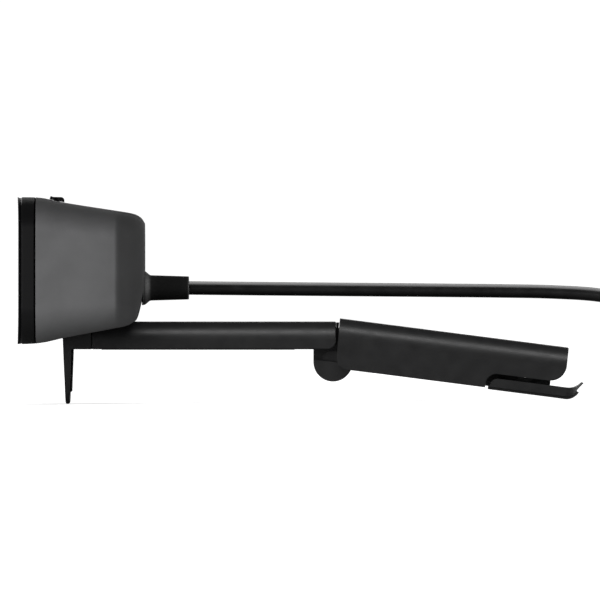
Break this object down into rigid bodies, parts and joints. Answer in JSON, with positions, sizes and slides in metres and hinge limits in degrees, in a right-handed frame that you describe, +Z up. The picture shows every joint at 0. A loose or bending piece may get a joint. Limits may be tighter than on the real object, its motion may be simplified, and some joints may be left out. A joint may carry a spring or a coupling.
{
  "type": "webcam",
  "caption": "Webcam head that tilts on a flat clip arm with a hanging lip and a fold-out leg, opened as a desk stand, with a privacy shutter and a coiled USB lead.",
  "frame": {"origin": "under the middle of the webcam and its opened clip, on the surface that it stands on, measured without the free lead's tubes, coil, tie and plug", "axes": "+Y from the lens side to the back, along the opened clip; +X across the camera; +Z up"},
  "size_m": [0.073, 0.1939, 0.0426],
  "materials": {
    "housing_plastic": "fine-grained charcoal, satin",
    "gloss_front": "polished black",
    "clip_plastic": "satin black",
    "black_parts": "flat black",
    "rubber": "matt moulded rubber",
    "cord_jacket": "smooth black jacket",
    "steel": "plated steel",
    "lens_glass": "coated, clear",
    "circuit_board": "green solder mask",
    "pale_plastic": "pale moulded plastic"
  },
  "bodies": {
    "base": {"clip_frame": "clip_plastic", "arm_cover": "clip_plastic", "arm_grip_pad": "rubber", "lip_pad": "rubber", "tilt_washer_left": "steel", "tilt_washer_right": "steel", "fold_washer_left": "black_parts", "fold_washer_right": "black_parts", "usb_cord_lead": "cord_jacket", "usb_cord_coil": "cord_jacket", "usb_cord_tail": "cord_jacket", "cable_tie": "rubber", "usb_plug_body": "rubber", "usb_plug_shell": "steel", "usb_plug_tongue": "pale_plastic"},
    "head": {"front_cover": "gloss_front", "rear_housing": "housing_plastic", "lens_ring": "black_parts", "lens_window": "lens_glass", "lens_barrel": "black_parts", "lens_front_element": "lens_glass", "lens_rear_element": "lens_glass", "lens_holder": "black_parts", "infrared_filter": "lens_glass", "image_sensor": "black_parts", "main_board": "circuit_board", "processor_chip": "black_parts", "cable_connector": "pale_plastic", "inner_lead": "cord_jacket", "status_led": "pale_plastic", "led_light_pipe": "pale_plastic", "microphone_left": "steel", "microphone_boot_left": "rubber", "board_screw_left": "steel", "microphone_right": "steel", "microphone_boot_right": "rubber", "board_screw_right": "steel", "cable_gland": "rubber", "tilt_pin": "steel"},
    "shutter": {"shutter_blade": "black_parts", "shutter_knob": "gloss_front"},
    "leg": {"leg_cover": "clip_plastic", "leg_frame": "clip_plastic", "fold_pin": "steel", "foot_pin": "steel"},
    "foot": {"foot_plate": "clip_plastic", "foot_pad": "rubber"}
  },
  "joints": [
    {"name": "head_tilt", "type": "hinge", "parent": "base", "child": "head", "pos_m": [0, -0.04488, 0.01654], "axis": [1, 0, 0], "range_deg": [-9, 20], "deforming": ["usb_cord_lead"]},
    {"name": "shutter_slide", "type": "slide", "parent": "head", "child": "shutter", "axis": [1, 0, 0], "range_m": [-0.01, 0]},
    {"name": "leg_fold", "type": "hinge", "parent": "base", "child": "leg", "pos_m": [0, 0.00664, 0.00805], "axis": [1, 0, 0], "range_deg": [-172, 0]},
    {"name": "foot_pivot", "type": "hinge", "parent": "leg", "child": "foot", "pos_m": [0, 0.04613, 0.00525], "axis": [1, 0, 0], "range_deg": [-6, 8]}
  ]
}
